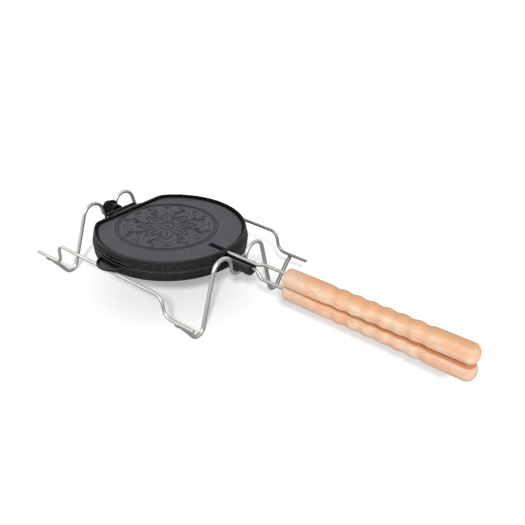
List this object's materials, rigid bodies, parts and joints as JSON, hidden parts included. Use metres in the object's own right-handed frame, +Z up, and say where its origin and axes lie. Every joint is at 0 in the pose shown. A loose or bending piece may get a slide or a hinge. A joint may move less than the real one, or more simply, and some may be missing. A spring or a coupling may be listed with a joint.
{
  "type": "rotating waffle iron",
  "caption": "Round stovetop waffle iron of two hinged castings with long turned grips, rolling over on its axis in a bent-wire stand.",
  "frame": {"origin": "on the standing surface under the roll axis, halfway along the whole length", "axes": "+X along the roll axis towards the grips, +Y to the right seen from the grips' end with the lug on the -Y side, +Z up"},
  "size_m": [0.5497, 0.219, 0.0908],
  "materials": {
    "cast_iron": "matte",
    "steel_wire": "satin",
    "weld_steel": "satin",
    "beech": "satin"
  },
  "bodies": {
    "stand": {"front_saddle_frame": "steel_wire", "rear_saddle_frame": "steel_wire", "left_rail": "steel_wire", "right_rail": "steel_wire", "front_welds": "weld_steel", "rear_welds": "weld_steel"},
    "lower_half": {"lower_plate": "cast_iron", "hinge_pin": "steel_wire", "lower_handle_rod": "steel_wire", "lower_grip": "beech"},
    "upper_half": {"upper_plate": "cast_iron", "upper_handle_rod": "steel_wire", "upper_grip": "beech"}
  },
  "joints": [
    {"name": "roll", "type": "hinge", "parent": "stand", "child": "lower_half", "pos_m": [-0.14055, 0, 0.0693], "axis": [1, 0, 0], "range_deg": [-180, 0]},
    {"name": "lid_open", "type": "hinge", "parent": "lower_half", "child": "upper_half", "pos_m": [-0.23055, 0, 0.0693], "axis": [0, -1, 0], "range_deg": [0, 93]}
  ]
}
